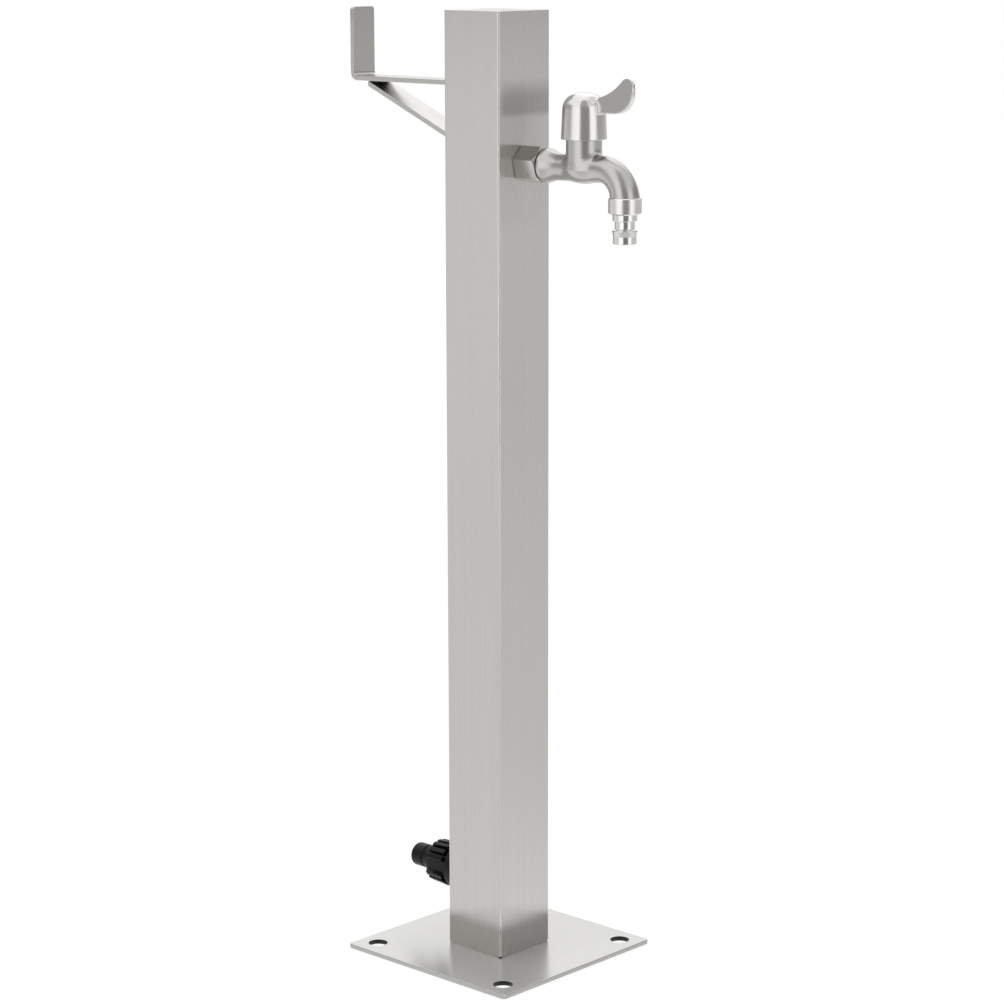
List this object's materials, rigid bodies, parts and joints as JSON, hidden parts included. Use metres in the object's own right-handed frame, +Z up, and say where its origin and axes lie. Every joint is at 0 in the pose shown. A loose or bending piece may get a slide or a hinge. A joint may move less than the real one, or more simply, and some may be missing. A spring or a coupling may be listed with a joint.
{
  "type": "garden standpipe",
  "caption": "Square steel standpipe on an anchored base plate, with a quarter-turn garden tap, a hose bracket at the back and a hose connector for the supply at the foot.",
  "frame": {"origin": "centre of the base plate's underside, on the column's axis", "axes": "+Z up the column; +X towards the tap and its spout; the hose bracket and the supply inlet are on the -X side"},
  "size_m": [0.3109, 0.184, 0.8],
  "materials": {
    "plate_steel": "satin stainless sheet",
    "column_steel": "stainless tube brushed along its length",
    "bracket_steel": "brushed stainless flat bar",
    "socket_steel": "bright drawn hexagon bar",
    "tap_steel": "satin cast stainless steel",
    "handle_steel": "satin stainless steel brushed round",
    "outlet_steel": "bright turned stainless steel",
    "turned_steel": "plain turned stainless steel",
    "fitting_brass": "machined brass",
    "disc_ceramic": "lapped white ceramic",
    "seal_rubber": "matt black rubber",
    "connector_plastic": "moulded black plastic, slightly glossy"
  },
  "bodies": {
    "standpipe": {"base_plate": "plate_steel", "column_tube": "column_steel", "column_cap": "column_steel", "bracket_arm": "bracket_steel", "bracket_strut": "bracket_steel", "tap_socket": "socket_steel", "tap_socket_washer": "turned_steel", "tap_socket_locknut": "fitting_brass", "tap_gasket": "seal_rubber", "tap_body": "tap_steel", "cartridge_seal": "seal_rubber", "cartridge_fixed_disc": "disc_ceramic", "cartridge_housing": "fitting_brass", "outlet_washer": "seal_rubber", "hose_nozzle": "outlet_steel", "upper_elbow": "fitting_brass", "upper_olive": "fitting_brass", "upper_pipe_nut": "fitting_brass", "supply_pipe": "turned_steel", "lower_pipe_nut": "fitting_brass", "lower_olive": "fitting_brass", "lower_elbow": "fitting_brass", "inlet_washer": "turned_steel", "inlet_locknut": "fitting_brass", "inlet_gasket": "seal_rubber", "inlet_nipple": "fitting_brass", "connector_washer": "seal_rubber", "connector_body": "connector_plastic", "connector_oring": "seal_rubber"},
    "tap_handle": {"handle": "handle_steel", "handle_screw": "turned_steel", "cartridge_spindle": "fitting_brass", "spindle_oring": "seal_rubber", "cartridge_moving_disc": "disc_ceramic"},
    "nozzle_collar": {"outlet_collar": "outlet_steel"},
    "inlet_collar": {"connector_collar": "connector_plastic"}
  },
  "joints": [
    {"name": "handle_turn", "type": "hinge", "parent": "standpipe", "child": "tap_handle", "pos_m": [0.0953, 0, 0.7], "axis": [0, 0, 1], "range_deg": [0, 90]},
    {"name": "nozzle_collar_turn", "type": "hinge", "parent": "standpipe", "child": "nozzle_collar", "pos_m": [0.1387, 0, 0.65], "axis": [0, 0, 1], "continuous": true},
    {"name": "inlet_collar_turn", "type": "hinge", "parent": "standpipe", "child": "inlet_collar", "pos_m": [-0.06, 0, 0.062], "axis": [1, 0, 0], "continuous": true}
  ]
}
